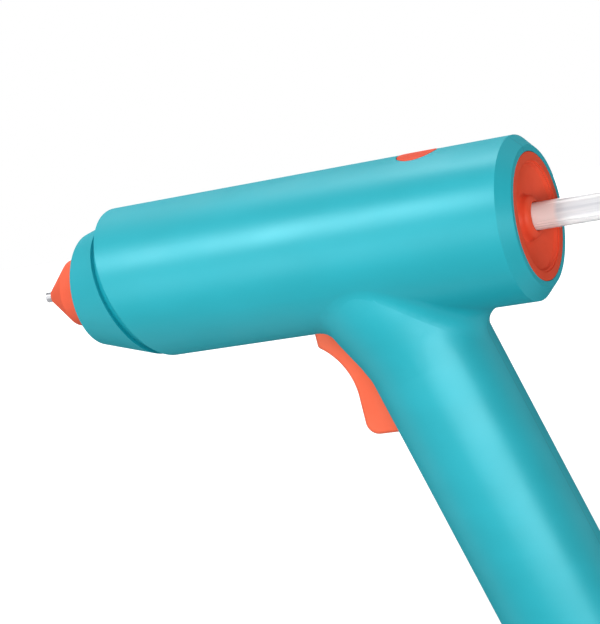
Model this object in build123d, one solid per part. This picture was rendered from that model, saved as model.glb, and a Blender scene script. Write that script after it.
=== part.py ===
# Cordless hot-glue gun: two moulded housing halves round a melt chamber, a stick feed driven by
# the trigger, a battery cell in the handle and a power button on top of the barrel.
# Frame: origin at the centre of the nozzle's outlet, +X along the barrel to the rear, +Z up, mm.
# Places in the handle are given as forward, sideways and along, measured from the barrel's axis.
import os
from math import asin, cos, hypot, pi, radians, sin, sqrt, tan

from build123d import *

# Fits
slide_gap = 0.3        # between pieces that move past each other
running_gap = 0.05     # round a pin or a screw
seat_gap = 0.15        # round a plug, plate or board in its seat
clear_gap = 1.0        # plain room between pieces that don't meet
touch = 0.02           # points nearer than this count as one

# Barrel and handle
wall = 2.2
rib = 2.0
barrel_radius = 21.0
barrel_front = 32.1    # where the sloped front crosses the axis
barrel_end = 146.1
rear_chamfer = 3.1
rear_lip = 1.5         # flat ring between the chamfer and the rear cap
rear_lip_depth = 4.0
lean = 15.5            # degrees: the handle and the barrel's front lean alike
handle_radius = 17.0
handle_x = 100.5       # where the handle's axis crosses the barrel's axis
handle_length = 128.0
handle_root = 4.0      # where the handle's form starts, inside the barrel
flare_top = 12.0
flare_end = 34.0
flare_steps = 4
flare_share = 0.55     # forward swell under the barrel, of the barrel's extra radius over the handle
blend_share = 1.5      # radius of the blend there, of the same

# Nose
collar_tip = 17.1
collar_tip_radius = 15.4
collar_taper = 16.0    # degrees
collar_back = 28.3     # where the sloped rear edge crosses the axis
collar_edge = 0.5
groove_depth = 1.2     # shadow groove between the collar and the barrel
neck_radius = 15.6
flange_thickness = 2.0
sleeve_shoulder = 9.8
shoulder_radius = 9.15
sleeve_taper = 42.5    # degrees, ahead of the shoulder; behind it the sleeve tapers as the collar does
sleeve_wall = 0.8
sleeve_mouth_radius = 2.0
sleeve_flange = 1.7
tip_radius = 1.5
tip_neck = 1.3         # nozzle's neck inside the sleeve's mouth
outlet_radius = 0.9
nozzle_bore_radius = 2.4
nozzle_hex_radius = 7.4
nozzle_hex_start = 10.6
nozzle_hex_length = 4.5
nozzle_body_radius = 6.3
nozzle_thread_radius = 4.5
nozzle_thread_length = 7.0

# Melt chamber
chamber_radius = 7.5
chamber_head_radius = 8.0
chamber_head_length = 6.0
chamber_end = 51.1
spigot_radius = 5.2
spigot_length = 10.0
melt_taper_end = 39.1
heater_start = 26.1
heater_length = 18.0
heater_width = 7.0
heater_thickness = 1.8
electrode_thickness = 0.4
electrode_tab = 3.0
pocket_wall = 1.2
fuse_radius = 1.8
fuse_length = 10.0
fuse_start = 29.1
clip_thickness = 0.5
clip_width = 4.0
plate_thickness = 2.5
inlet_wall = 1.6
inlet_length = 18.0
clamp_thickness = 0.7
clamp_width = 2.4

# Glue stick and rear cap
stick_radius = 3.5
stick_start = 65.1
stick_length = 100.0
cap_ring = 2.2         # flat outer ring of the rear cap
cap_ledge = 0.5        # narrow ledge inside the ring
dish_depth = 3.4
dish_slope = 0.9       # how far the dish's side leans inwards
dish_round = 1.2
boss_radius = 5.8
boss_end_radius = 5.6
boss_round = 1.6
boss_recess = 0.5      # the boss ends this far inside the rear face
guide_radius = 5.4
guide_length = 29.0

# Trigger and feed
swing = 12.0           # degrees
pivot_x = 80.6
pivot_z = -13.3
hub_radius = 3.4
pin_radius = 1.75
pin_seat = 2.5         # depth of the pin's seat in each housing half
trigger_width = 12.0
trigger_front = 80.2   # upper front corner of the finger face
finger_x = 88.3        # straight lower part of the finger face
finger_z = -38.5       # where the finger curve becomes straight
finger_radius = 17.0
trigger_bottom = -49.35
trigger_corner = 3.5
trigger_edge = 1.2
trigger_tail = 99.7
trigger_back = 87.6
trigger_top = -17.0
fork_thickness = 1.8
fork_width = 6.4
fork_top = 3.5         # fork's height above the drive pin
drive_arm = 17.5       # drive pin's height above the pivot
drive_radius = 1.5
carriage_length = 17.0
carriage_width = 9.6
carriage_bottom = -5.2
carriage_top = 9.0
carriage_nose = 2.6    # carriage ahead of the drive pin's axis
carriage_edge = 1.0
lug_width = 5.2
lug_length = 8.0
lug_bottom = -1.0
lug_height = 3.0
rail_thickness = 1.2
jaw_width = 4.0
jaw_reach = 6.8
jaw_height = 3.1       # jaw pin's height above the stick's top
jaw_hub = 1.6
jaw_pin_radius = 0.8
jaw_inset = 3.8        # jaw pin ahead of the carriage's rear face
tooth_count = 3
tooth_pitch = 0.9
tooth_depth = 0.6
tooth_gap = 0.1        # teeth above the stick at rest
web_half = 6.5         # half height of the cross webs that the stick runs through
web_room = 4.5         # from the carriage to the web behind it
spring_wire = 0.7
spring_radius = 4.7
spring_turns = 4

# Power button and its switch
button_inset = 28.0    # button's axis ahead of the rear face
button_radius = 5.25
button_rise = 0.1
button_edge = 0.3
button_gap = 0.2
button_flange = 1.1
button_flange_thickness = 1.2
button_travel = 0.6
switch_size = 6.0
switch_height = 3.4
plunger_radius = 1.6
plunger_rise = 0.9
plunger_length = 2.8
board_thickness = 1.2
switch_board_length = 16.0
switch_board_width = 14.0
shelf_thickness = 1.6
shelf_reach = 3.0      # how far a shelf runs under the board's edge

# Battery and charging
cell_share = 0.5412    # cell's radius over the handle's
cell_start = 51.0
cell_room = 12.0       # from the cell to the end of the handle
cell_edge = 0.6
cell_nub_radius = 3.2
cell_nub_height = 1.0
cradle_wall = 1.2
cradle_end = 1.5
contact_size = 8.0
contact_thickness = 0.5
contact_dome = 0.8
main_board_start = 57.0
main_board_room = 7.0  # from the main board to the end of the handle
main_board_width = 18.0
parts_room = 4.5       # from a screw's axis to the components on the main board
parts_width = 6.0
parts_share = 0.5      # component's length over its pitch
parts_heights = (3.0, 1.0, 1.5)
socket_width = 8.94
socket_height = 3.2
socket_length = 7.4
socket_skin = 0.3
socket_inset = 0.6
tongue_width = 6.7
tongue_thickness = 0.7
end_cap_thickness = 3.0
end_chamfer = 2.4
plug_depth = 5.5
plug_wall = 1.0
plug_flange = 1.2

# Screws and leads
screw_radius = 1.25
screw_head_radius = 2.4
screw_head_height = 1.8
screw_grip = 6.0       # from the seam to the head's seat
screw_bite = 7.0       # from the seam to the screw's point
screw_boss_radius = 3.0
screw_slot = 0.7       # arms of the cross recess in a head
screw_slot_length = 3.0
screw_slot_depth = 1.0
front_screw_x = 59.1
rear_screw_inset = 13.0
barrel_screw_room = 4.6  # from the barrel's inside to a screw's axis
upper_screw = 66.0     # along the handle
lower_screw_room = 16.0  # from the lower screw to the end of the handle
lead_radius = 0.8
lead_bend = 2.4
lead_inset = 2.4       # leads' axes inside the handle's wall, and twice that inside the barrel's
lead_end = 4.0         # straight end on the main board
heater_lead_drop = 38.0
heater_lead_angle = 35.0  # degrees below the horizontal in the barrel
heater_lead_turn = 60.0   # degrees round the handle from its front
switch_lead_back = 7.6    # behind the handle's axis, where the switch's leads go down
switch_lead_drops = (26.0, 46.0)
switch_lead_turns = (103.0, 74.0)

# Worked out from the sizes above
lean_sin = sin(radians(lean))
lean_cos = cos(radians(lean))
lean_tan = tan(radians(lean))
cavity_radius = barrel_radius - wall
handle_cavity = handle_radius - wall
extra_radius = barrel_radius - handle_radius
flare_depth = flare_share * extra_radius
blend_radius = blend_share * extra_radius
shell_end = handle_length - end_cap_thickness
stick_bore = stick_radius + slide_gap
rear_opening = barrel_radius - rear_chamfer - rear_lip
cap_radius = rear_opening - seat_gap
cap_flange_end = barrel_end - rear_lip_depth
cap_flange_start = cap_flange_end - flange_thickness
trap_x = barrel_front + wall / lean_cos + cavity_radius * lean_tan + slide_gap
flange_x = trap_x + rib
plate_x = flange_x + flange_thickness + rib
collar_slope = tan(radians(collar_taper))
sleeve_slope = tan(radians(sleeve_taper))
sleeve_mouth = sleeve_shoulder - (shoulder_radius - sleeve_mouth_radius) / sleeve_slope
sleeve_radius = shoulder_radius + (collar_tip - sleeve_shoulder) * collar_slope
sleeve_back = collar_tip + wall
chamber_start = nozzle_hex_start + nozzle_hex_length
spigot_end = chamber_end + spigot_length
heater_top = -chamber_radius - pocket_wall / 2
heater_stack = heater_thickness + 2 * electrode_thickness
inlet_start = chamber_end + clear_gap
inlet_end = inlet_start + inlet_length
drive_x = pivot_x + drive_arm * tan(radians(swing / 2))
drive_z = pivot_z + drive_arm
carriage_front = drive_x - carriage_nose
carriage_end = carriage_front + carriage_length
fork_inner = trigger_width / 2
fork_outer = fork_inner + fork_thickness
feed_stroke = 2 * drive_arm * tan(radians(swing / 2))
web_front = inlet_end + clear_gap
web_rear = carriage_end + web_room
spring_length = carriage_front - web_front - rib
jaw_x = carriage_end - jaw_inset
jaw_z = stick_radius + jaw_height
guide_start = barrel_end - guide_length
button_x = barrel_end - button_inset
flange_top = sqrt(cavity_radius ** 2 - (button_radius + button_flange) ** 2) - slide_gap
button_bottom = flange_top - button_flange_thickness
switch_board_z = button_bottom - plunger_rise - switch_height - board_thickness
cell_radius = cell_share * handle_radius
cell_end = handle_length - cell_room
cradle_radius = cell_radius + seat_gap + cradle_wall
cell_back = handle_cavity - cradle_radius - slide_gap
main_board_end = handle_length - main_board_room
board_forward = cell_radius - cell_back + clear_gap
socket_forward = board_forward + board_thickness + socket_height / 2
plug_radius = handle_cavity - plug_flange - seat_gap
plug_top = shell_end - plug_depth
lower_screw = handle_length - lower_screw_room
parts_start = upper_screw + parts_room
parts_pitch = (lower_screw - parts_room - parts_start) / len(parts_heights)
barrel_screw_z = cavity_radius - barrel_screw_room
handle_screw_forward = board_forward + board_thickness + screw_boss_radius + clear_gap / 2
barrel_run = cavity_radius - 2 * lead_inset
handle_run = handle_cavity - lead_inset
lead_spread = main_board_width / 2 - lead_inset
screw_places = [
    (front_screw_x, barrel_screw_z),
    (front_screw_x, -barrel_screw_z),
    (barrel_end - rear_screw_inset, barrel_screw_z),
    (barrel_end - rear_screw_inset, -barrel_screw_z),
]
for place in (upper_screw, lower_screw):
    screw_places.append((
        handle_x - handle_screw_forward * lean_cos + place * lean_sin,
        -handle_screw_forward * lean_sin - place * lean_cos,
    ))

from_base = (Align.CENTER, Align.CENTER, Align.MIN)
handle_plane = Plane(
    origin=(handle_x, 0, 0),
    x_dir=(-lean_cos, 0, -lean_sin),
    z_dir=(lean_sin, 0, -lean_cos),
)


# Plain shapes
def rod(radius, start, end):
    return Pos(0, 0, start) * Cylinder(radius, end - start, align=from_base)


def rod_x(radius, start, end):
    return Pos(start, 0, 0) * Rot(0, 90, 0) * Cylinder(radius, end - start, align=from_base)


def rod_y(radius, start, end, x, z):
    return Pos(x, start, z) * Rot(-90, 0, 0) * Cylinder(radius, end - start, align=from_base)


def pipe_x(outer, inner, start, end):
    return rod_x(outer, start, end) - rod_x(inner, start, end)


def block(low, high):
    size = [high[axis] - low[axis] for axis in range(3)]
    middle = [(high[axis] + low[axis]) / 2 for axis in range(3)]
    return Pos(*middle) * Box(*size)


def turned(*outline, rounds=()):
    face = make_face(Polyline(*outline, close=True))
    for corner, radius in rounds:
        face = fillet(face.vertices().sort_by_distance((*corner, 0))[0], radius)
    return revolve(Plane.XZ * face, Axis.X)


def flat_piece(face, width):
    return extrude(Plane.XZ * face, amount=width / 2, both=True)


def in_handle(solid):
    return handle_plane.location * solid


def both_sides(solid):
    return solid + mirror(solid, about=Plane.XZ)


def slope_at(x):
    return Plane(origin=(x, 0, 0), x_dir=(0, 1, 0), z_dir=(lean_cos, 0, lean_sin))


# Housing
def barrel_form(radius, start, end):
    return split(rod_x(radius, 0, end), bisect_by=slope_at(start), keep=Keep.TOP)


def handle_swell(along):
    share = (along - flare_top) / (flare_end - flare_top)
    return flare_depth * (1 + cos(pi * share)) / 2


def handle_form():
    sections = []
    for step in range(flare_steps + 1):
        along = flare_top + (flare_end - flare_top) * step / flare_steps
        swell = handle_swell(along)
        sections.append(in_handle(Pos(swell, 0, along) * Circle(handle_radius + swell)))
    root = Pos(flare_depth, 0, 0) * rod(handle_radius + flare_depth, handle_root, flare_top)
    return in_handle(root) + loft(sections) + in_handle(rod(handle_radius, flare_end, shell_end))


def meets_handle(edge):
    if edge.geom_type == GeomType.LINE:
        return False
    for share in (0, 0.25, 0.5, 0.75):
        point = edge @ share
        if abs(hypot(point.Y, point.Z) - barrel_radius) > touch:
            return False
        if not trap_x < point.X < barrel_end - rear_chamfer - rib:
            return False
    return True


def outer_form():
    barrel = barrel_form(barrel_radius, barrel_front, barrel_end)
    barrel = chamfer(barrel.edges().sort_by(Axis.X)[-1], rear_chamfer)
    form = barrel + handle_form()
    return fillet(form.edges().filter_by(meets_handle), blend_radius)


def ring_rib(start, inner):
    return pipe_x(cavity_radius + wall / 2, inner, start, start + rib)


def cross_web(start):
    web = block((start, -barrel_radius, -web_half), (start + rib, barrel_radius, web_half))
    return web - rod_x(stick_bore, start, start + rib)


def feed_rails():
    side = fork_outer + slide_gap
    low = lug_bottom - slide_gap - rail_thickness
    high = lug_bottom + lug_height + slide_gap
    start = carriage_end - lug_length - feed_stroke - clear_gap
    end = carriage_end + clear_gap
    rails = block((start, side, low), (end, barrel_radius, low + rail_thickness))
    rails += block((start, side, high), (end, barrel_radius, high + rail_thickness))
    return both_sides(rails)


def board_shelves():
    inner = switch_board_width / 2 - shelf_reach
    half = switch_board_length / 2
    top = switch_board_z
    low = (button_x - half, inner, top - shelf_thickness)
    return both_sides(block(low, (button_x + half, barrel_radius, top)))


def pin_bosses():
    boss = rod_y(hub_radius, fork_outer + slide_gap, barrel_radius, pivot_x, pivot_z)
    return both_sides(boss)


def inner_ribs():
    ribs = pin_bosses() + feed_rails() + board_shelves()
    for start in (web_front, web_rear):
        ribs += cross_web(start)
    for x, z in screw_places[:4]:
        ribs += rod_y(screw_boss_radius, -barrel_radius, barrel_radius, x, z)
    ribs = ribs & rod_x(cavity_radius + wall / 2, 0, barrel_end)
    neck_hole = neck_radius + seat_gap
    for start in (trap_x, flange_x + flange_thickness, plate_x + plate_thickness):
        ribs += ring_rib(start, neck_hole)
    ribs += ring_rib(cap_flange_start - rib, neck_hole)
    return ribs


def handle_ribs():
    posts = None
    for x, z in screw_places[4:]:
        post = rod_y(screw_boss_radius, -handle_radius, handle_radius, x, z)
        posts = post if posts is None else posts + post
    posts = posts & in_handle(rod(handle_cavity + wall / 2, 0, shell_end))
    catch_start = plug_top + flange_thickness + seat_gap
    catch = rod(handle_cavity + wall / 2, catch_start, catch_start + rib)
    catch -= rod(plug_radius + seat_gap, catch_start, catch_start + rib)
    return posts + in_handle(catch)


def trigger_slot():
    half = trigger_width / 2 + slide_gap
    low = (trigger_front - slide_gap, -half, trigger_bottom - slide_gap)
    return block(low, (trigger_tail + 2 * slide_gap, half, trigger_top))


def housing():
    shell = outer_form()
    shell -= barrel_form(cavity_radius, barrel_front + wall / lean_cos, cap_flange_end)
    shell -= in_handle(rod(handle_cavity, 0, shell_end))
    shell -= rod_x(neck_radius + seat_gap, 0, trap_x)
    shell -= rod_x(rear_opening, cap_flange_end, barrel_end)
    shell += inner_ribs() + handle_ribs()
    shell -= trigger_slot()
    shell -= Pos(button_x, 0, 0) * rod(button_radius + button_gap, web_half, barrel_radius + wall)
    pin_half = fork_outer + slide_gap + pin_seat
    shell -= rod_y(pin_radius, -pin_half, pin_half, pivot_x, pivot_z)
    return shell


def housing_halves():
    shell = housing()
    left = split(shell, bisect_by=Plane.XZ, keep=Keep.TOP)
    right = split(shell, bisect_by=Plane.XZ, keep=Keep.BOTTOM)
    for x, z in screw_places:
        left -= rod_y(screw_radius + running_gap, -screw_bite - running_gap, 0, x, z)
        right -= rod_y(screw_radius + seat_gap, 0, screw_grip, x, z)
        right -= rod_y(screw_head_radius + slide_gap, screw_grip, barrel_radius, x, z)
    return left, right


def housing_screws():
    screws = []
    top = screw_grip + screw_head_height
    long = screw_slot_length / 2
    short = screw_slot / 2
    recess = block((-long, top - screw_slot_depth, -short), (long, top, short))
    recess += block((-short, top - screw_slot_depth, -long), (short, top, long))
    for x, z in screw_places:
        screw = rod_y(screw_radius, -screw_bite, screw_grip, x, z)
        screw += rod_y(screw_head_radius, screw_grip, top, x, z)
        screws.append(screw - Pos(x, 0, z) * recess)
    return Compound(children=screws)


# Nose
def collar_cone(front_radius, end):
    back = barrel_front + barrel_radius * lean_tan
    back_radius = front_radius + (back - collar_tip) * collar_slope
    cone = turned((collar_tip, 0), (collar_tip, front_radius), (back, back_radius), (back, 0))
    cone = fillet(cone.edges().sort_by(Axis.X)[0], collar_edge)
    return split(cone, bisect_by=slope_at(end), keep=Keep.BOTTOM)


def nose_collar():
    neck_end = flange_x + flange_thickness
    collar = collar_cone(collar_tip_radius, collar_back)
    collar += collar_cone(collar_tip_radius - groove_depth, barrel_front)
    collar += rod_x(neck_radius, sleeve_back, neck_end)
    collar += rod_x(cavity_radius - seat_gap, flange_x, neck_end)
    collar -= rod_x(neck_radius - wall, sleeve_back, neck_end)
    return collar - rod_x(sleeve_radius + seat_gap, 0, sleeve_back)


def nozzle_sleeve():
    inner = shoulder_radius - sleeve_wall
    tip_hole = tip_neck + seat_gap
    cone_start = sleeve_mouth + sleeve_wall
    flange_end = sleeve_back + flange_thickness
    return turned(
        (sleeve_mouth, tip_hole),
        (sleeve_mouth, sleeve_mouth_radius),
        (sleeve_shoulder, shoulder_radius),
        (collar_tip, sleeve_radius),
        (sleeve_back, sleeve_radius),
        (sleeve_back, sleeve_radius + sleeve_flange),
        (flange_end, sleeve_radius + sleeve_flange),
        (flange_end, inner),
        (cone_start + (inner - tip_hole) / sleeve_slope, inner),
        (cone_start, tip_hole),
    )


def nozzle():
    cone_start = sleeve_mouth + 2 * sleeve_wall
    cone_end = cone_start + (nozzle_body_radius - tip_neck) / sleeve_slope
    thread_end = chamber_start + nozzle_thread_length
    body = turned(
        (0, 0),
        (0, tip_radius),
        (sleeve_mouth, tip_radius),
        (sleeve_mouth, tip_neck),
        (cone_start, tip_neck),
        (cone_end, nozzle_body_radius),
        (chamber_start, nozzle_body_radius),
        (chamber_start, nozzle_thread_radius),
        (thread_end, nozzle_thread_radius),
        (thread_end, 0),
    )
    hexagon = Plane(origin=(nozzle_hex_start, 0, 0), z_dir=(1, 0, 0)) * RegularPolygon(nozzle_hex_radius, 6)
    body += extrude(hexagon, amount=nozzle_hex_length)
    return body - turned(
        (0, 0),
        (0, outlet_radius),
        (cone_start, outlet_radius),
        (nozzle_hex_start, nozzle_bore_radius),
        (thread_end, nozzle_bore_radius),
        (thread_end, 0),
    )


# Melt chamber and what is on it
def melt_chamber():
    thread_end = chamber_start + nozzle_thread_length
    thread_hole = nozzle_thread_radius + running_gap
    head_end = chamber_start + chamber_head_length
    body = turned(
        (chamber_start, 0),
        (chamber_start, chamber_head_radius),
        (head_end, chamber_head_radius),
        (head_end, chamber_radius),
        (chamber_end, chamber_radius),
        (chamber_end, spigot_radius),
        (spigot_end, spigot_radius),
        (spigot_end, 0),
    )
    half = heater_width / 2 + seat_gap + pocket_wall
    floor = heater_top - heater_stack - pocket_wall
    heater_end = heater_start + heater_length
    body += block((heater_start, -half, floor), (heater_end, half, 0))
    slot = heater_width / 2 + seat_gap
    body -= block((heater_start, -slot, heater_top - heater_stack), (heater_end, slot, heater_top))
    fuse_z = chamber_radius + fuse_radius
    fuse_end = fuse_start + fuse_length
    saddle = fuse_radius + pocket_wall
    body += block((fuse_start, -saddle, 0), (fuse_end, saddle, fuse_z))
    body -= Pos(0, 0, fuse_z) * rod_x(fuse_radius, fuse_start, fuse_end)
    return body - turned(
        (chamber_start, 0),
        (chamber_start, thread_hole),
        (thread_end, thread_hole),
        (thread_end, nozzle_bore_radius),
        (melt_taper_end, stick_bore),
        (spigot_end, stick_bore),
        (spigot_end, 0),
    )


def heater():
    top = heater_top - electrode_thickness
    half = heater_width / 2
    end = heater_start + heater_length
    return block((heater_start, -half, top - heater_thickness), (end, half, top))


def heater_electrodes():
    half = heater_width / 2
    plate_end = heater_start + heater_length
    tab_end = chamber_end + electrode_tab
    plates = []
    for top, side in ((heater_top, 1), (heater_top - heater_stack + electrode_thickness, -1)):
        low = top - electrode_thickness
        plate = block((heater_start, -half, low), (plate_end, half, top))
        plate += block((plate_end, side * half / 2 - half / 3, low), (tab_end, side * half / 2 + half / 3, top))
        plates.append(plate)
    return Compound(children=plates)


def thermal_fuse():
    place = Pos(0, 0, chamber_radius + fuse_radius)
    lead = fuse_radius / 3
    body = rod_x(fuse_radius, fuse_start, fuse_start + fuse_length)
    return place * (body + rod_x(lead, fuse_start - fuse_radius, fuse_start + fuse_length + fuse_radius))


def fuse_clip():
    place = Pos(0, 0, chamber_radius + fuse_radius)
    start = fuse_start + (fuse_length - clip_width) / 2
    end = start + clip_width
    outer = fuse_radius + clip_thickness
    strap = pipe_x(outer, fuse_radius, start, end) & block((start, -outer, 0), (end, outer, outer))
    foot = block((start, fuse_radius, 0), (end, fuse_radius + pocket_wall, clip_thickness))
    return place * (strap + both_sides(foot))


def chamber_support():
    end = plate_x + plate_thickness
    plate = pipe_x(cavity_radius - seat_gap, chamber_radius + seat_gap, plate_x, end)
    half = heater_width / 2 + pocket_wall
    return plate - block((plate_x, -half, heater_top - heater_stack - slide_gap), (end, half, 0))


def inlet_sleeve():
    return turned(
        (inlet_start, spigot_radius),
        (inlet_start, spigot_radius + inlet_wall),
        (spigot_end + inlet_wall, spigot_radius + inlet_wall),
        (spigot_end + 2 * inlet_wall, stick_bore + inlet_wall),
        (inlet_end, stick_bore + inlet_wall),
        (inlet_end, stick_bore),
        (spigot_end, stick_bore),
        (spigot_end, spigot_radius),
    )


def sleeve_clamp():
    inner = spigot_radius + inlet_wall
    start = chamber_end + spigot_length / 2
    end = start + clamp_width
    band = pipe_x(inner + clamp_thickness, inner, start, end)
    gap = clamp_thickness
    ears = block((start, gap / 2, inner), (end, gap / 2 + clamp_thickness, inner + 3 * clamp_thickness))
    return band + both_sides(ears) - block((start, -gap / 2, 0), (end, gap / 2, inner + 4 * clamp_thickness))


# Stick and rear cap
def glue_stick():
    return rod_x(stick_radius, stick_start, stick_start + stick_length)


def rear_cap():
    ring_inner = cap_radius - cap_ring
    ledge = barrel_end - cap_ledge
    ledge_inner = ring_inner - cap_ledge
    floor = barrel_end - dish_depth
    floor_radius = ledge_inner - dish_slope
    boss_end = barrel_end - boss_recess
    return turned(
        (guide_start, stick_bore),
        (guide_start, guide_radius),
        (cap_flange_start, guide_radius),
        (cap_flange_start, cavity_radius - seat_gap),
        (cap_flange_end, cavity_radius - seat_gap),
        (cap_flange_end, cap_radius),
        (barrel_end, cap_radius),
        (barrel_end, ring_inner),
        (ledge, ring_inner),
        (ledge, ledge_inner),
        (floor, floor_radius),
        (floor, boss_radius),
        (boss_end, boss_end_radius),
        (boss_end, stick_bore),
        rounds=[((floor, floor_radius), dish_round), ((boss_end, boss_end_radius), boss_round)],
    )


# Trigger and feed
def finger_face():
    centre_x = finger_x - finger_radius
    rise = sqrt(finger_radius ** 2 - (trigger_front - centre_x) ** 2)
    upper = (trigger_front, finger_z + rise)
    middle_angle = asin(rise / finger_radius) / 2
    middle = (centre_x + finger_radius * cos(middle_angle), finger_z + finger_radius * sin(middle_angle))
    outline = ThreePointArc(upper, middle, (finger_x, finger_z))
    outline += Polyline(
        (finger_x, finger_z),
        (finger_x, trigger_bottom),
        (trigger_tail, trigger_bottom),
        (trigger_back, trigger_top),
        (trigger_front, trigger_top),
        upper,
    )
    face = make_face(outline)
    corner = face.vertices().sort_by_distance((finger_x, trigger_bottom, 0))[0]
    face = fillet(corner, trigger_corner)
    nose = face.vertices().sort_by_distance((*upper, 0))[0]
    return fillet(nose, trigger_edge)


def shows_on_trigger(edge):
    middle = edge.center()
    if abs(abs(middle.Y) - trigger_width / 2) > touch:
        return False
    in_front = middle.X < finger_x + trigger_corner and middle.Z < trigger_top - touch
    return in_front or middle.Z < trigger_bottom + touch


def trigger():
    blade = flat_piece(finger_face(), trigger_width)
    blade = fillet(blade.edges().filter_by(shows_on_trigger), trigger_edge)
    half = trigger_width / 2
    neck = block((trigger_front, -half, trigger_top - touch), (pivot_x + hub_radius, half, pivot_z))
    body = blade + neck + rod_y(hub_radius, -fork_outer, fork_outer, pivot_x, pivot_z)
    arm_top = drive_arm + fork_top
    slot = drive_radius + seat_gap
    arm = block((-fork_width / 2, fork_inner + slide_gap, 0), (fork_width / 2, fork_outer, arm_top))
    arm -= block((-slot, 0, drive_arm - drive_radius - 2 * slide_gap), (slot, barrel_radius, arm_top))
    body += Pos(pivot_x, 0, pivot_z) * Rot(0, swing / 2, 0) * both_sides(arm)
    return body - rod_y(pin_radius + running_gap, -fork_outer, fork_outer, pivot_x, pivot_z)


def trigger_pin():
    half = fork_outer + slide_gap + pin_seat - seat_gap
    return rod_y(pin_radius, -half, half, pivot_x, pivot_z)


def feed_carriage():
    half = carriage_width / 2
    body = block((carriage_front, -half, carriage_bottom), (carriage_end, half, carriage_top))
    body = fillet(body.edges().filter_by(Axis.X), carriage_edge)
    body += rod_y(drive_radius, -fork_outer, fork_outer, drive_x, drive_z)
    lug_low = (carriage_end - lug_length, -half - lug_width, lug_bottom)
    body += block(lug_low, (carriage_end, half + lug_width, lug_bottom + lug_height))
    body -= rod_x(stick_bore, carriage_front, carriage_end)
    slot = jaw_width / 2 + slide_gap
    slot_start = jaw_x - jaw_reach - 3 * slide_gap
    body -= block((slot_start, -slot, 0), (jaw_x + jaw_hub + slide_gap, slot, carriage_top))
    return body - rod_y(jaw_pin_radius, -half, half, jaw_x, jaw_z)


def grip_jaw():
    tip = jaw_x - jaw_reach
    low = stick_radius + tooth_gap
    outline = [(jaw_x + jaw_hub, jaw_z), (jaw_x, jaw_z + jaw_hub), (tip + jaw_hub, jaw_z + jaw_hub), (tip, jaw_z)]
    for tooth in range(tooth_count):
        outline.append((tip + tooth * tooth_pitch, low))
        outline.append((tip + (tooth + 1) * tooth_pitch, low + tooth_depth))
    outline.append((jaw_x, jaw_z - jaw_hub))
    jaw = flat_piece(make_face(Polyline(*outline, close=True)), jaw_width)
    return jaw - rod_y(jaw_pin_radius + running_gap, -jaw_width, jaw_width, jaw_x, jaw_z)


def jaw_pin():
    half = carriage_width / 2
    return rod_y(jaw_pin_radius, -half, half, jaw_x, jaw_z)


def return_spring():
    height = spring_length - spring_wire - 2 * seat_gap
    path = Helix(height / spring_turns, height, spring_radius)
    section = Plane(origin=path @ 0, z_dir=path % 0) * Circle(spring_wire / 2)
    coil = sweep(section, path)
    return Pos(web_front + rib + spring_wire / 2 + seat_gap, 0, 0) * Rot(0, 90, 0) * coil


# Power button and switch
def power_button():
    top = barrel_radius + button_rise
    cap = rod(button_radius, button_bottom, top)
    cap = Pos(button_x, 0, 0) * cap & rod_x(top, 0, barrel_end)
    cap = fillet(cap.edges().sort_by(Axis.Z)[-1], button_edge)
    flange = rod(button_radius + button_flange, button_bottom, flange_top)
    return cap + Pos(button_x, 0, 0) * flange


def switch_board():
    half_x = switch_board_length / 2
    half_y = switch_board_width / 2
    low = (button_x - half_x, -half_y, switch_board_z)
    return block(low, (button_x + half_x, half_y, switch_board_z + board_thickness))


def tact_switch():
    low = switch_board_z + board_thickness
    half = switch_size / 2
    body = block((button_x - half, -half, low), (button_x + half, half, low + switch_height))
    floor = button_bottom - plunger_length - button_travel - seat_gap
    return body - Pos(button_x, 0, 0) * rod(plunger_radius + running_gap, floor, button_bottom)


def switch_plunger():
    return Pos(button_x, 0, 0) * rod(plunger_radius, button_bottom - plunger_length, button_bottom)


# Battery and charging
def battery_cell():
    cell = rod(cell_radius, cell_start, cell_end - cell_nub_height)
    cell = fillet(cell.edges().filter_by(GeomType.CIRCLE), cell_edge)
    cell += rod(cell_nub_radius, cell_end - cell_nub_height, cell_end)
    return in_handle(Pos(-cell_back, 0, 0) * cell)


def battery_cradle():
    gap = contact_thickness + contact_dome
    start = cell_start - gap - cradle_end
    end = cell_end + gap + cradle_end
    inner = cell_radius + seat_gap
    tray = rod(cradle_radius, start, end) - rod(inner, start + cradle_end, end - cradle_end)
    open_from = cradle_radius / 2
    tray -= block((open_from, -cradle_radius, start + cradle_end), (cradle_radius, cradle_radius, end - cradle_end))
    front = board_forward + cell_back
    tray -= block((front, -cradle_radius, start), (cradle_radius, cradle_radius, end))
    cheek_out = sqrt(cradle_radius ** 2 - open_from ** 2)
    low = (open_from - cradle_wall, cheek_out - cradle_wall, main_board_start)
    cheek = block(low, (front, cheek_out, end))
    cheek -= rod(inner, start, end)
    return in_handle(Pos(-cell_back, 0, 0) * (tray + both_sides(cheek)))


def battery_contacts():
    half = contact_size / 2
    dome = rod(half / 2, 0, contact_dome)
    plate = block((-half, -half, -contact_thickness), (half, half, 0)) + dome
    upper = Pos(-cell_back, 0, cell_start - contact_dome) * plate
    lower = Pos(-cell_back, 0, cell_end + contact_dome) * Rot(180, 0, 0) * plate
    return Compound(children=[in_handle(upper), in_handle(lower)])


def main_board():
    half = main_board_width / 2
    low = (board_forward, -half, main_board_start)
    return in_handle(block(low, (board_forward + board_thickness, half, main_board_end)))


def board_parts():
    face = board_forward + board_thickness
    length = parts_share * parts_pitch
    half = parts_width / 2
    pieces = []
    for index, height in enumerate(parts_heights):
        along = parts_start + index * parts_pitch + length / 2
        pieces.append(in_handle(block((face, -half, along), (face + height, half, along + length))))
    return Compound(children=pieces)


def socket_slot(width, height, start, end):
    slot = extrude(Rot(0, 0, 90) * SlotOverall(width, height), amount=end - start)
    return Pos(socket_forward, 0, start) * slot


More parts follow.
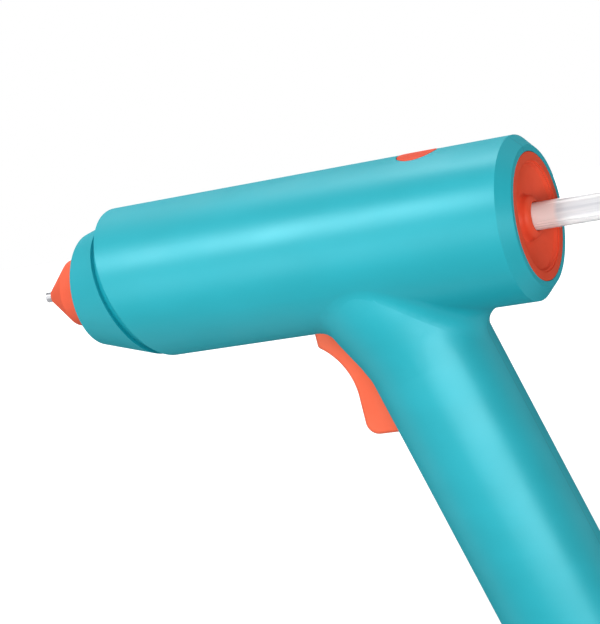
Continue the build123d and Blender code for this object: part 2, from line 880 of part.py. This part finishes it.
def charging_socket():
    mouth = handle_length - socket_inset
    start = mouth - socket_length
    shell = socket_slot(socket_width, socket_height, start, mouth)
    inside = 2 * socket_skin
    shell -= socket_slot(socket_width - inside, socket_height - inside, start + 2 * inside, mouth)
    tongue_half = tongue_thickness / 2
    low = (socket_forward - tongue_half, -tongue_width / 2, start + inside)
    shell += block(low, (socket_forward + tongue_half, tongue_width / 2, mouth - 2 * inside))
    return in_handle(shell)


def handle_end_cap():
    disc = rod(handle_radius, shell_end, handle_length)
    disc = chamfer(disc.edges().sort_by(Axis.Z)[-1], end_chamfer)
    plug = rod(plug_radius, plug_top, shell_end)
    plug += rod(handle_cavity - seat_gap, plug_top, plug_top + flange_thickness)
    plug -= rod(plug_radius - plug_wall, plug_top, shell_end)
    gap = 2 * seat_gap
    hole = socket_slot(socket_width + gap, socket_height + gap, plug_top, handle_length)
    return in_handle(disc + plug - hole)


# Leads
def lead(*points):
    path = FilletPolyline(*points, radius=lead_bend)
    return sweep(Plane(origin=path @ 0, z_dir=path % 0) * Circle(lead_radius), path)


def in_barrel(x, side, below):
    turn = radians(below)
    return (x, side * barrel_run * cos(turn), -barrel_run * sin(turn))


def handle_point(forward, side, along):
    point = handle_plane.from_local_coords((forward, side, along))
    return (point.X, point.Y, point.Z)


def round_handle(side, turn, along):
    return handle_point(handle_run * cos(radians(turn)), side * handle_run * sin(radians(turn)), along)


def on_board(side, along):
    rest = board_forward + board_thickness + lead_radius + seat_gap
    return handle_point(rest, side, along)


def heater_leads():
    leads = []
    for side in (1, -1):
        leads.append(lead(
            (chamber_end + electrode_tab + seat_gap, side * heater_width / 4, heater_top - heater_stack / 2),
            in_barrel(inlet_end - inlet_length / 3, side, heater_lead_angle),
            in_barrel(handle_x - lead_inset, side, heater_lead_angle),
            round_handle(side, heater_lead_turn, heater_lead_drop),
            on_board(side * lead_spread, main_board_start - lead_end),
            on_board(side * lead_spread, main_board_start + lead_end),
        ))
    return Compound(children=leads)


def switch_leads():
    low = switch_board_z - lead_radius - seat_gap
    turn_x = handle_x + switch_lead_back
    leads = []
    for side in (1, -1):
        leads.append(lead(
            (button_x - switch_size / 2 - clear_gap, side * lead_inset, low),
            (turn_x, side * lead_inset, low),
            in_barrel(turn_x, side, 0),
            round_handle(side, switch_lead_turns[0], switch_lead_drops[0]),
            round_handle(side, switch_lead_turns[1], switch_lead_drops[1]),
            on_board(side * lead_spread / 2, main_board_start - lead_end),
            on_board(side * lead_spread / 2, main_board_start + lead_end),
        ))
    return Compound(children=leads)


housing_left, housing_right = housing_halves()
nodes = {
    "housing_left": housing_left,
    "housing_right": housing_right,
    "housing_screws": housing_screws(),
    "nose_collar": nose_collar(),
    "nozzle_sleeve": nozzle_sleeve(),
    "nozzle": nozzle(),
    "melt_chamber": melt_chamber(),
    "heater": heater(),
    "heater_electrodes": heater_electrodes(),
    "thermal_fuse": thermal_fuse(),
    "fuse_clip": fuse_clip(),
    "chamber_support": chamber_support(),
    "inlet_sleeve": inlet_sleeve(),
    "sleeve_clamp": sleeve_clamp(),
    "glue_stick": glue_stick(),
    "rear_cap": rear_cap(),
    "trigger": trigger(),
    "trigger_pin": trigger_pin(),
    "feed_carriage": feed_carriage(),
    "grip_jaw": grip_jaw(),
    "jaw_pin": jaw_pin(),
    "return_spring": return_spring(),
    "power_button": power_button(),
    "switch_board": switch_board(),
    "tact_switch": tact_switch(),
    "switch_plunger": switch_plunger(),
    "battery_cell": battery_cell(),
    "battery_cradle": battery_cradle(),
    "battery_contacts": battery_contacts(),
    "main_board": main_board(),
    "board_parts": board_parts(),
    "charging_socket": charging_socket(),
    "handle_end_cap": handle_end_cap(),
    "heater_leads": heater_leads(),
    "switch_leads": switch_leads(),
}

os.makedirs("parts", exist_ok=True)
for name, piece in nodes.items():
    export_step(piece, f"parts/{name}.step")
    print(name, len(piece.solids()), round(piece.volume, 1))
print("feed per full pull", round(feed_stroke, 3), "mm")
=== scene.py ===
# Cordless hot-glue gun: finishes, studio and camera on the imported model's frame, in metres.
from math import cos, pi, radians, sin

import bmesh
import bpy
from mathutils import Matrix, Vector


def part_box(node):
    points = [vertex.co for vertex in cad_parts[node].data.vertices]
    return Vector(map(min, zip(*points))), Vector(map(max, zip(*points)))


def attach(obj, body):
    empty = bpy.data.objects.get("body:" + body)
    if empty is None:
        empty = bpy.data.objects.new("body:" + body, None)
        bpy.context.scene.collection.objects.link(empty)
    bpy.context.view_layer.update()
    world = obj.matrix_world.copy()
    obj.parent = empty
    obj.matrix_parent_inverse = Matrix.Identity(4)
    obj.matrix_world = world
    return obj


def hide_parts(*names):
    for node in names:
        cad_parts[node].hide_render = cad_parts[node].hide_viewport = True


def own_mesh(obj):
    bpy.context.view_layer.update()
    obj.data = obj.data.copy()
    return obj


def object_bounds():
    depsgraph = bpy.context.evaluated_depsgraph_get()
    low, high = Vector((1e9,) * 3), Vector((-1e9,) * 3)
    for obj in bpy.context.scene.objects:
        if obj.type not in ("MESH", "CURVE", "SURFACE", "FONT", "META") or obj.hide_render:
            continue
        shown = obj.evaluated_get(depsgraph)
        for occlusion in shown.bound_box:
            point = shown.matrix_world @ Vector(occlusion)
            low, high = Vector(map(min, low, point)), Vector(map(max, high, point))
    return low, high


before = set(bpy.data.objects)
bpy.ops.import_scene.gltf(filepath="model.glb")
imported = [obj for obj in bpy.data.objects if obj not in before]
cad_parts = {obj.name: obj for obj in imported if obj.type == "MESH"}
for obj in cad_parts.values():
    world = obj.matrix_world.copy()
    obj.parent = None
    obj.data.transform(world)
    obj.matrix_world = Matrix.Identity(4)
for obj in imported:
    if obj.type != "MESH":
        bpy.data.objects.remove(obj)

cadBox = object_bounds()
lowest, highest = Vector(cadBox[0]), Vector(cadBox[1])
middle = (lowest + highest) / 2
print("frame loaded:", len(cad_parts), "nodes")


# Shader helpers
def toLinear(red, green, blue):     # screen values, 0 to 255, as the shader takes them
    def channel(value):
        value = value / 255
        return value / 12.92 if value <= 0.04045 else ((value + 0.055) / 1.055) ** 2.4
    return (channel(red), channel(green), channel(blue), 1)


def newMaterial(name, settings):
    material = bpy.data.materials.new(name)
    material.use_nodes = True
    tree = material.node_tree
    shader = tree.nodes["Principled BSDF"]
    for socket, value in settings.items():
        shader.inputs[socket].default_value = value
    return material, tree, shader


def place(tree, kind):
    return tree.nodes.new("ShaderNodeTexCoord").outputs[kind]


def axisOf(tree, vector, axis):
    node = tree.nodes.new("ShaderNodeSeparateXYZ")
    tree.links.new(vector, node.inputs["Vector"])
    return node.outputs[axis]


def maths(tree, operation, *values):
    node = tree.nodes.new("ShaderNodeMath")
    node.operation = operation
    for socket, value in zip(node.inputs, values):
        tree.links.new(value, socket)
    return node.outputs["Value"]


def noise(tree, scale, detail, stretch=(1, 1, 1)):
    mapping = tree.nodes.new("ShaderNodeMapping")
    mapping.inputs["Scale"].default_value = stretch
    texture = tree.nodes.new("ShaderNodeTexNoise")
    texture.inputs["Scale"].default_value = scale
    texture.inputs["Detail"].default_value = detail
    tree.links.new(place(tree, "Object"), mapping.inputs["Vector"])
    tree.links.new(mapping.outputs["Vector"], texture.inputs["Vector"])
    return texture.outputs["Fac"]


noiseRange = (0.35, 0.65)     # where most of a noise's values lie


def spread(tree, value, low, high, fromLow=noiseRange[0], fromHigh=noiseRange[1]):
    node = tree.nodes.new("ShaderNodeMapRange")
    node.inputs["From Min"].default_value = fromLow
    node.inputs["From Max"].default_value = fromHigh
    node.inputs["To Min"].default_value = low
    node.inputs["To Max"].default_value = high
    tree.links.new(value, node.inputs["Value"])
    return node.outputs["Result"]


def colourSocket(sockets, name):
    return [entry for entry in sockets if entry.name == name and entry.type == "RGBA"][0]


def blend(tree, factor, first, second):
    node = tree.nodes.new("ShaderNodeMix")
    node.data_type = "RGBA"
    tree.links.new(factor, node.inputs["Factor"])
    for name, colour in (("A", first), ("B", second)):
        target = colourSocket(node.inputs, name)
        if isinstance(colour, tuple):
            target.default_value = colour
        else:
            tree.links.new(colour, target)
    return colourSocket(node.outputs, "Result")


def shades(tree, value, look):     # the look's two shades, mixed by a value
    return blend(tree, spread(tree, value, 0, 1), toLinear(*look["dark"]), toLinear(*look["light"]))


def bump(tree, shader, height, depth):
    node = tree.nodes.new("ShaderNodeBump")
    node.inputs["Distance"].default_value = depth
    tree.links.new(height, node.inputs["Height"])
    tree.links.new(node.outputs["Normal"], shader.inputs["Normal"])


def finish(material, *nodeNames):
    for name in nodeNames:
        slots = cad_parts[name].data.materials
        slots.clear()
        slots.append(material)


# Moulded plastic: fine eroded grain, faint flow marks in the colour,
# roughness that wanders a little
moulded = {
    "ior": 1.5,
    "flowDetail": 4,
    "handlingDetail": 5,
    "grainDetail": 2,
    "glancingRange": (0.3, 0.9),  # how far the surface turns away while the grain dulls its gloss
}


def nearSeam(tree, width):     # 1 on the plane where the two halves meet, 0 beside it
    away = maths(tree, "ABSOLUTE", axisOf(tree, place(tree, "Object"), "Y"))
    return spread(tree, away, 1, 0, width / 4, width / 2)


def plastic(name, look):
    settings = {
        "IOR": moulded["ior"],
        "Specular IOR Level": look["gloss"],
        "Specular Tint": look["tint"],
    }
    material, tree, shader = newMaterial(name, settings)
    shader.distribution = "GGX"
    flow = noise(tree, look["flowScale"], moulded["flowDetail"], look["flowStretch"])
    colour = shades(tree, flow, look)
    if "seam" in look:
        colour = blend(tree, nearSeam(tree, look["seamWidth"]), colour, toLinear(*look["seam"]))
    tree.links.new(colour, shader.inputs["Base Color"])
    handling = noise(tree, look["handlingScale"], moulded["handlingDetail"])
    facing = tree.nodes.new("ShaderNodeLayerWeight").outputs["Facing"]
    dull = spread(tree, facing, 0, look["glancing"], *moulded["glancingRange"])
    satin = maths(tree, "ADD", spread(tree, handling, *look["roughness"]), dull)
    tree.links.new(satin, shader.inputs["Roughness"])
    bump(tree, shader, noise(tree, look["grainScale"], moulded["grainDetail"]), look["grainDepth"])
    return material


tealLook = {
    "dark": (16, 161, 175),
    "light": (22, 168, 183),
    "gloss": 0.92,
    "tint": (0.42, 0.9, 1, 1),
    "roughness": (0.34, 0.40),
    "glancing": 0.62,
    "flowScale": 60,
    "flowStretch": (0.4, 1, 1),
    "handlingScale": 45,
    "grainScale": 3500,
    "grainDepth": 0.000012,
}
finish(plastic("tealPlastic", tealLook), "nose_collar", "handle_end_cap")

housingLook = dict(tealLook, seam=(10, 116, 128), seamWidth=0.00022)
finish(plastic("housingPlastic", housingLook), "housing_left", "housing_right")

coralLook = {
    "dark": (253, 109, 76),
    "light": (255, 118, 86),
    "gloss": 0.25,
    "tint": (1, 0.75, 0.65, 1),
    "roughness": (0.36, 0.44),
    "glancing": 0.55,
    "flowScale": 80,
    "flowStretch": (1, 1, 0.5),
    "handlingScale": 70,
    "grainScale": 3500,
    "grainDepth": 0.000012,
}
finish(plastic("coralPlastic", coralLook), "trigger")

# a darker copy of the trigger's coral: painted shade for the rear cap and the power button
shadedCoralLook = dict(coralLook, dark=(234, 81, 52), light=(242, 89, 58))
shadedCoralPlastic = plastic("shadedCoralPlastic", shadedCoralLook)
finish(shadedCoralPlastic, "rear_cap", "power_button")

siliconeLook = dict(coralLook, dark=(246, 96, 64), light=(254, 105, 72), gloss=0.5)
siliconeLook.update(roughness=(0.38, 0.46), grainScale=2400, grainDepth=0.00002)
finish(plastic("coralSilicone", siliconeLook), "nozzle_sleeve")

whiteLook = {
    "dark": (222, 222, 216),
    "light": (234, 234, 229),
    "gloss": 0.5,
    "tint": (1, 1, 1, 1),
    "roughness": (0.42, 0.52),
    "glancing": 0.2,
    "flowScale": 90,
    "flowStretch": (1, 1, 0.4),
    "handlingScale": 80,
    "grainScale": 3000,
    "grainDepth": 0.000014,
}
finish(plastic("whitePlastic", whiteLook), "feed_carriage")

blackLook = dict(whiteLook, dark=(24, 24, 26), light=(34, 34, 36), roughness=(0.38, 0.52))
blackPlastic = plastic("blackPlastic", blackLook)
finish(blackPlastic, "tact_switch", "switch_plunger", "board_parts", "battery_cradle")

wrapLook = dict(whiteLook, dark=(52, 66, 120), light=(62, 78, 138), roughness=(0.28, 0.36))
wrapLook.update(flowScale=30)
finish(plastic("cellWrap", wrapLook), "battery_cell")

redLeadLook = dict(whiteLook, dark=(176, 30, 30), light=(192, 38, 36), roughness=(0.45, 0.55))
finish(plastic("leadRed", redLeadLook), "heater_leads")

blackLeadLook = dict(whiteLook, dark=(28, 28, 30), light=(40, 40, 42), roughness=(0.45, 0.55))
finish(plastic("leadBlack", blackLeadLook), "switch_leads")
print("plastics done")


# Bare metal: brushing along the piece, darker where it has been handled
bareMetal = {
    "specular": 0.5,
    "stainDetail": 5,
    "brushDetail": 3,
    "openRange": (0.3, 0.8),  # how open a spot is, from full painted shade to none
}


def metal(name, look):
    settings = {"Metallic": 1, "Specular IOR Level": bareMetal["specular"]}
    material, tree, shader = newMaterial(name, settings)
    colour = shades(tree, noise(tree, look["stainScale"], bareMetal["stainDetail"]), look)
    if "grime" in look:     # painted shade: darker in recesses, where ambient occlusion finds them closed in
        occlusion = tree.nodes.new("ShaderNodeAmbientOcclusion")
        occlusion.inputs["Distance"].default_value = look["grimeReach"]
        unshaded = spread(tree, occlusion.outputs["AO"], 0, 1, *bareMetal["openRange"])
        colour = blend(tree, unshaded, toLinear(*look["grime"]), colour)
    tree.links.new(colour, shader.inputs["Base Color"])
    brushed = noise(tree, look["brushScale"], bareMetal["brushDetail"], look["brushStretch"])
    tree.links.new(spread(tree, brushed, *look["roughness"]), shader.inputs["Roughness"])
    bump(tree, shader, brushed, look["brushDepth"])
    return material


steelLook = {
    "dark": (128, 130, 134),
    "light": (168, 169, 172),
    "roughness": (0.20, 0.32),
    "stainScale": 260,
    "brushScale": 1400,
    "brushStretch": (0.25, 1, 1),
    "brushDepth": 0.000008,
}
finish(metal("steel", steelLook), "nozzle", "trigger_pin", "jaw_pin")

zincLook = dict(steelLook, dark=(142, 143, 147), light=(158, 159, 162), roughness=(0.30, 0.38))
zincLook.update(stainScale=500, brushScale=2600, brushDepth=0.000002)
# painted shade in the screws' cross recesses, darkened by ambient occlusion
zincLook.update(grime=(46, 46, 48), grimeReach=0.0008)
finish(metal("zincPlate", zincLook), "housing_screws")

springLook = dict(steelLook, dark=(132, 134, 138), light=(172, 173, 176), roughness=(0.28, 0.40))
springSteel = metal("springSteel", springLook)
finish(springSteel, "return_spring", "sleeve_clamp", "fuse_clip", "grip_jaw", "battery_contacts")

castLook = dict(steelLook, dark=(150, 151, 152), light=(186, 187, 188), roughness=(0.45, 0.62))
castLook.update(brushScale=900, brushStretch=(1, 1, 1), brushDepth=0.00005)
finish(metal("castAluminium", castLook), "melt_chamber")

brassLook = dict(steelLook, dark=(176, 138, 62), light=(208, 170, 88))
finish(metal("brassStrip", brassLook), "heater_electrodes")

socketLook = dict(steelLook, dark=(176, 176, 176), light=(202, 202, 201), roughness=(0.26, 0.34))
finish(metal("socketMetal", socketLook), "charging_socket")
print("metals done")


# Ceramic and insulating pieces: pressed powder with fine pits
ceramicLook = dict(whiteLook, dark=(92, 88, 84), light=(112, 108, 103), roughness=(0.6, 0.75))
ceramicLook.update(grainDepth=0.00004)
finish(plastic("heaterCeramic", ceramicLook), "heater")

fuseLook = dict(whiteLook, dark=(214, 206, 190), light=(228, 221, 206), roughness=(0.5, 0.6))
finish(plastic("fuseCeramic", fuseLook), "thermal_fuse")

insulatorLook = dict(whiteLook, dark=(150, 112, 74), light=(172, 132, 90), roughness=(0.55, 0.68))
insulatorLook.update(flowScale=220, flowStretch=(3, 1, 0.2))
finish(plastic("insulator", insulatorLook), "chamber_support")

boardLook = dict(whiteLook, dark=(26, 88, 56), light=(34, 104, 66), roughness=(0.30, 0.42))
boardLook.update(flowScale=420, flowStretch=(1, 1, 1))
finish(plastic("circuitBoard", boardLook), "main_board", "switch_board")
print("ceramics and boards done")


# Clear pieces: streaks along the stick where it was drawn out, none on its cut ends
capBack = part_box("rear_cap")[1].x
clearLook = {
    "dark": (206, 204, 198),
    "light": (226, 225, 220),
    "ior": 1.2,
    "transmission": 0.5,
    "specular": 0.5,
    "roughness": (0.3, 0.42),
    "streakScale": 700,
    "streakStretch": (0.03, 1, 1),
    "streakDetail": 4,
    "streakDepth": 0.00006,
    "endShade": 0.58,        # plain value of a cut end, between dark and light
    "endRange": (0.5, 0.9),  # how squarely a spot faces along the stick, from side to end
}


def streaks(tree, look):
    facing = maths(tree, "ABSOLUTE", axisOf(tree, place(tree, "Normal"), "X"))
    node = tree.nodes.new("ShaderNodeMix")
    node.inputs["B"].default_value = look["endShade"]
    tree.links.new(spread(tree, facing, 0, 1, *look["endRange"]), node.inputs["Factor"])
    drawn = noise(tree, look["streakScale"], look["streakDetail"], look["streakStretch"])
    tree.links.new(drawn, node.inputs["A"])
    return node.outputs["Result"]


def clear(name, look):
    settings = {
        "IOR": look["ior"],
        "Transmission Weight": look["transmission"],
        "Specular IOR Level": look["specular"],
    }
    material, tree, shader = newMaterial(name, settings)
    streaked = streaks(tree, look)
    colour = shades(tree, streaked, look)
    if "warm" in look:     # painted light: the coral light from the cap's dish that scatters in the milky glue, painted into the colour near the cap
        along = axisOf(tree, place(tree, "Object"), "X")
        near = spread(tree, along, 1, 0, *[capBack + reach for reach in look["warmReach"]])
        colour = blend(tree, near, colour, toLinear(*look["warm"]))
    tree.links.new(colour, shader.inputs["Base Color"])
    tree.links.new(spread(tree, streaked, *look["roughness"]), shader.inputs["Roughness"])
    bump(tree, shader, streaked, look["streakDepth"])
    return material


glueLook = dict(clearLook, dark=(210, 212, 217), light=(255, 255, 255), transmission=0.2)
# a pink glow painted near the cap, standing in for coral light scattered in the glue
glueLook.update(roughness=(0.18, 0.30), warm=(255, 234, 229))
glueLook.update(warmReach=(0.0050, 0.0062))     # behind the cap, where the painted coral light fades
finish(clear("glue", glueLook), "glue_stick")
finish(clear("clearSilicone", clearLook), "inlet_sleeve")
print("clear pieces done")


# Mesh helpers
def joinRings(mesh, first, second):
    for side in range(len(first)):
        after = (side + 1) % len(first)
        mesh.faces.new((first[side], first[after], second[after], second[side]))


def pieceFrom(name, mesh):
    bmesh.ops.recalc_face_normals(mesh, faces=mesh.faces)
    data = bpy.data.meshes.new(name)
    mesh.to_mesh(data)
    mesh.free()
    for face in data.polygons:
        face.use_smooth = True
    piece = bpy.data.objects.new(name, data)
    bpy.context.scene.collection.objects.link(piece)
    return piece


# Rear cap: a turned dish whose floor hollows towards the boss that the stick goes in by
rearCap = {
    "radius": 0.01625,
    "ring": 0.0022,            # flat outer ring
    "ledge": 0.0005,           # narrow step inside the ring
    "wallDepth": 0.0013,       # where the dish's side meets its floor
    "wallLean": 0.0004,
    "floorDepth": 0.0034,      # at the foot of the boss
    "floorCurve": 1.8,
    "footRadius": 0.0062,
    "bossRadius": 0.0058,
    "bossEndRadius": 0.0056,
    "bossEnd": 0.0005,         # ahead of the rear face
    "bossRound": 0.0016,
    "bore": 0.0038,
    "flangeRadius": 0.01865,
    "flange": (0.004, 0.006),  # from the rear face
    "guideRadius": 0.0054,
    "guideLength": 0.029,
    "steps": 144,
    "bossSteps": 8,
    "floorSteps": 16,
    "edge": 0.00012,           # broken edges
    "edgeSegments": 2,
    "edgeAngle": 35,           # degrees between faces, from which an edge is broken
    "sharpAngle": 50,          # and from which it is shaded sharp
}


def capProfile(cap):     # depth ahead of the rear face, and radius
    ringInner = cap["radius"] - cap["ring"]
    ledgeInner = ringInner - cap["ledge"]
    wallFoot = ledgeInner - cap["wallLean"]
    rise = cap["floorDepth"] - cap["wallDepth"]
    points = [(cap["guideLength"], cap["bore"]), (cap["bossEnd"], cap["bore"])]
    for step in range(cap["bossSteps"] + 1):
        turn = pi / 2 * step / cap["bossSteps"]
        points.append((cap["bossEnd"] + cap["bossRound"] * (1 - cos(turn)),
                       cap["bossEndRadius"] - cap["bossRound"] * (1 - sin(turn))))
    points.append((cap["floorDepth"] - (cap["footRadius"] - cap["bossRadius"]), cap["bossRadius"]))
    for step in range(cap["floorSteps"] + 1):
        share = step / cap["floorSteps"]
        points.append((cap["floorDepth"] - rise * share ** cap["floorCurve"],
                       cap["footRadius"] + (wallFoot - cap["footRadius"]) * share))
    points += [(cap["ledge"], ledgeInner), (cap["ledge"], ringInner)]
    points += [(0, ringInner), (0, cap["radius"])]
    near, far = cap["flange"]
    points += [(near, cap["radius"]), (near, cap["flangeRadius"]), (far, cap["flangeRadius"])]
    points += [(far, cap["guideRadius"]), (cap["guideLength"], cap["guideRadius"])]
    return points


def turned(name, profile, back, steps):
    rings = []
    mesh = bmesh.new()
    for step in range(steps):
        turn = 2 * pi * step / steps
        rings.append([mesh.verts.new((back - depth, radius * cos(turn), radius * sin(turn)))
                      for depth, radius in profile])
    for ring, following in zip(rings, rings[1:] + rings[:1]):
        joinRings(mesh, ring, following)
    return pieceFrom(name, mesh)


def makeRearCap():
    piece = turned("rearCap", capProfile(rearCap), capBack, rearCap["steps"])
    edges = piece.modifiers.new("brokenEdges", "BEVEL")
    edges.width = rearCap["edge"]
    edges.segments = rearCap["edgeSegments"]
    edges.limit_method = "ANGLE"
    edges.angle_limit = radians(rearCap["edgeAngle"])
    piece.data.set_sharp_from_angle(angle=radians(rearCap["sharpAngle"]))
    piece.data.materials.append(shadedCoralPlastic)
    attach(piece, "housing")
    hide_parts("rear_cap")


makeRearCap()
print("rear cap done")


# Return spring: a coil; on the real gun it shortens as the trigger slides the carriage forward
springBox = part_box("return_spring")
returnSpring = {
    "front": springBox[0].x,
    "length": springBox[1].x - springBox[0].x,
    "radius": 0.0047,
    "wire": 0.00035,   # radius of the wire
    "turns": 4,
    "stepsPerTurn": 40,
    "sides": 12,
    "travel": 0.0037,  # of the carriage
}


def coil(name, spring):
    steps = spring["turns"] * spring["stepsPerTurn"]
    run = spring["length"] - 2 * spring["wire"]
    rings = []
    mesh = bmesh.new()
    for step in range(steps + 1):
        turn = 2 * pi * step / spring["stepsPerTurn"]
        along = spring["front"] + spring["wire"] + run * step / steps
        ring = []
        for side in range(spring["sides"]):
            angle = 2 * pi * side / spring["sides"]
            out = spring["radius"] + spring["wire"] * cos(angle)
            occlusion = (along + spring["wire"] * sin(angle), out * cos(turn), out * sin(turn))
            ring.append(mesh.verts.new(occlusion))
        rings.append(ring)
    for ring, following in zip(rings, rings[1:]):
        joinRings(mesh, ring, following)
    mesh.faces.new(rings[0])
    mesh.faces.new(rings[-1])
    return pieceFrom(name, mesh)


def makeReturnSpring():
    piece = coil("returnSpring", returnSpring)
    piece.data.materials.append(springSteel)
    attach(piece, "housing")
    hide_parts("return_spring")
    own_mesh(piece)


makeReturnSpring()
print("return spring done")


# Studio: white floor and surround, a soft lamp for each highlight,
# one above the back and one for the far side
studio = {
    "floorSize": 1.6,
    "floorDrop": 0.0002,        # floor under the lowest point of the handle
    "floorColour": (0.16, 0.16, 0.16, 1),
    "floorRoughness": 0.8,
    "floorGlow": (0.80, 0.98),  # where the floor is seen, by the handle's foot and away from it
    "glowReach": (0.04, 0.30),  # from the foot
    "surround": 0.03,           # light from all round
    "white": 1.0,               # what the camera and reflections see
    "lampDistance": 1.1,
}
lamps = {
    "barrelLamp": {"azimuth": -36.5, "elevation": 43.5, "size": (0.2, 0.36), "power": 4.2},
    "frontLamp": {"azimuth": -27, "elevation": 8, "size": (0.5, 0.5), "power": 1.8},
    "handleLamp": {"azimuth": 32, "elevation": 7, "size": (1.45, 0.42), "power": 11.6},
    "backLamp": {"azimuth": -156, "elevation": 65.5, "size": (0.24, 0.24), "power": 5},
    "sideLamp": {"azimuth": 207, "elevation": 16, "size": (0.7, 0.7), "power": 7.6},
}


def isSeen(tree):     # 1 for what the camera sees, straight or through gloss and glass
    path = tree.nodes.new("ShaderNodeLightPath").outputs
    seen = maths(tree, "MAXIMUM", path["Is Camera Ray"], path["Is Glossy Ray"])
    return maths(tree, "MAXIMUM", seen, path["Is Transmission Ray"])


def mixSeen(tree, lighting, shown, output):
    mix = tree.nodes.new("ShaderNodeMixShader")
    tree.links.new(isSeen(tree), mix.inputs["Fac"])
    tree.links.new(lighting, mix.inputs[1])
    tree.links.new(shown, mix.inputs[2])
    tree.links.new(mix.outputs["Shader"], tree.nodes[output].inputs["Surface"])


def makeWorld():
    world = bpy.data.worlds.new("studioWorld")
    world.use_nodes = True
    bpy.context.scene.world = world
    tree = world.node_tree
    light = tree.nodes["Background"]
    shown = tree.nodes.new("ShaderNodeBackground")
    for node, strength in ((light, studio["surround"]), (shown, studio["white"])):
        node.inputs["Color"].default_value = (1, 1, 1, 1)
        node.inputs["Strength"].default_value = strength
    mixSeen(tree, light.outputs["Background"], shown.outputs["Background"], "World Output")


def floorFinish(foot):     # the glow is weaker by the foot, so that the shadow there shows
    settings = {"Base Color": studio["floorColour"], "Roughness": studio["floorRoughness"]}
    material, tree, shader = newMaterial("paleFloor", settings)
    away = tree.nodes.new("ShaderNodeVectorMath")
    away.operation = "DISTANCE"
    away.inputs[1].default_value = foot
    tree.links.new(place(tree, "Object"), away.inputs[0])
    glow = tree.nodes.new("ShaderNodeEmission")
    strength = spread(tree, away.outputs["Value"], *studio["floorGlow"], *studio["glowReach"])
    tree.links.new(strength, glow.inputs["Strength"])
    add = tree.nodes.new("ShaderNodeAddShader")
    tree.links.new(shader.outputs["BSDF"], add.inputs[0])
    tree.links.new(glow.outputs["Emission"], add.inputs[1])
    mixSeen(tree, shader.outputs["BSDF"], add.outputs["Shader"], "Material Output")
    return material


def makeFloor():
    half = studio["floorSize"] / 2
    level = lowest.z - studio["floorDrop"]
    foot = sum(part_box("handle_end_cap"), Vector()) / 2
    corners = [(middle.x + x * half, middle.y + y * half, level)
               for x, y in ((-1, -1), (1, -1), (1, 1), (-1, 1))]
    mesh = bpy.data.meshes.new("floor")
    mesh.from_pydata(corners, [], [(0, 1, 2, 3)])
    mesh.materials.append(floorFinish((foot.x, foot.y, level)))
    floor = bpy.data.objects.new("floor", mesh)
    bpy.context.scene.collection.objects.link(floor)


def makeLamp(name, lamp):
    turn = Matrix.Rotation(radians(lamp["azimuth"]), 3, "Z")
    tilt = Matrix.Rotation(radians(-lamp["elevation"]), 3, "X")
    outward = turn @ tilt @ Vector((0, -1, 0))
    data = bpy.data.lights.new(name, "AREA")
    data.shape = "RECTANGLE"
    data.size, data.size_y = lamp["size"]
    data.energy = lamp["power"]
    stand = bpy.data.objects.new(name, data)
    stand.location = middle + outward * studio["lampDistance"]
    stand.rotation_euler = outward.to_track_quat("Z", "Y").to_euler()
    bpy.context.scene.collection.objects.link(stand)


makeWorld()
makeFloor()
for lampName, lampValues in lamps.items():
    makeLamp(lampName, lampValues)
print("studio done")


# Camera at the photograph's angle: the barrel slopes because the camera is rolled
cameraView = {
    "location": (0.33383, -0.50288, 0.09536),
    "azimuth": 27.237,
    "elevation": 11.035,
    "roll": -14.327,
    "lens": 126.03,
    "sensor": 36,
}


def makeCamera():
    data = bpy.data.cameras.new("photoCamera")
    data.lens = cameraView["lens"]
    data.sensor_width = cameraView["sensor"]
    camera = bpy.data.objects.new("photoCamera", data)
    turn = Matrix.Rotation(radians(cameraView["azimuth"]), 4, "Z")
    tilt = Matrix.Rotation(radians(90 - cameraView["elevation"]), 4, "X")
    roll = Matrix.Rotation(radians(cameraView["roll"]), 4, "Z")
    camera.matrix_world = Matrix.Translation(cameraView["location"]) @ turn @ tilt @ roll
    bpy.context.scene.collection.objects.link(camera)
    bpy.context.scene.camera = camera


makeCamera()
bpy.context.scene.view_settings.view_transform = "Standard"
print("camera done")
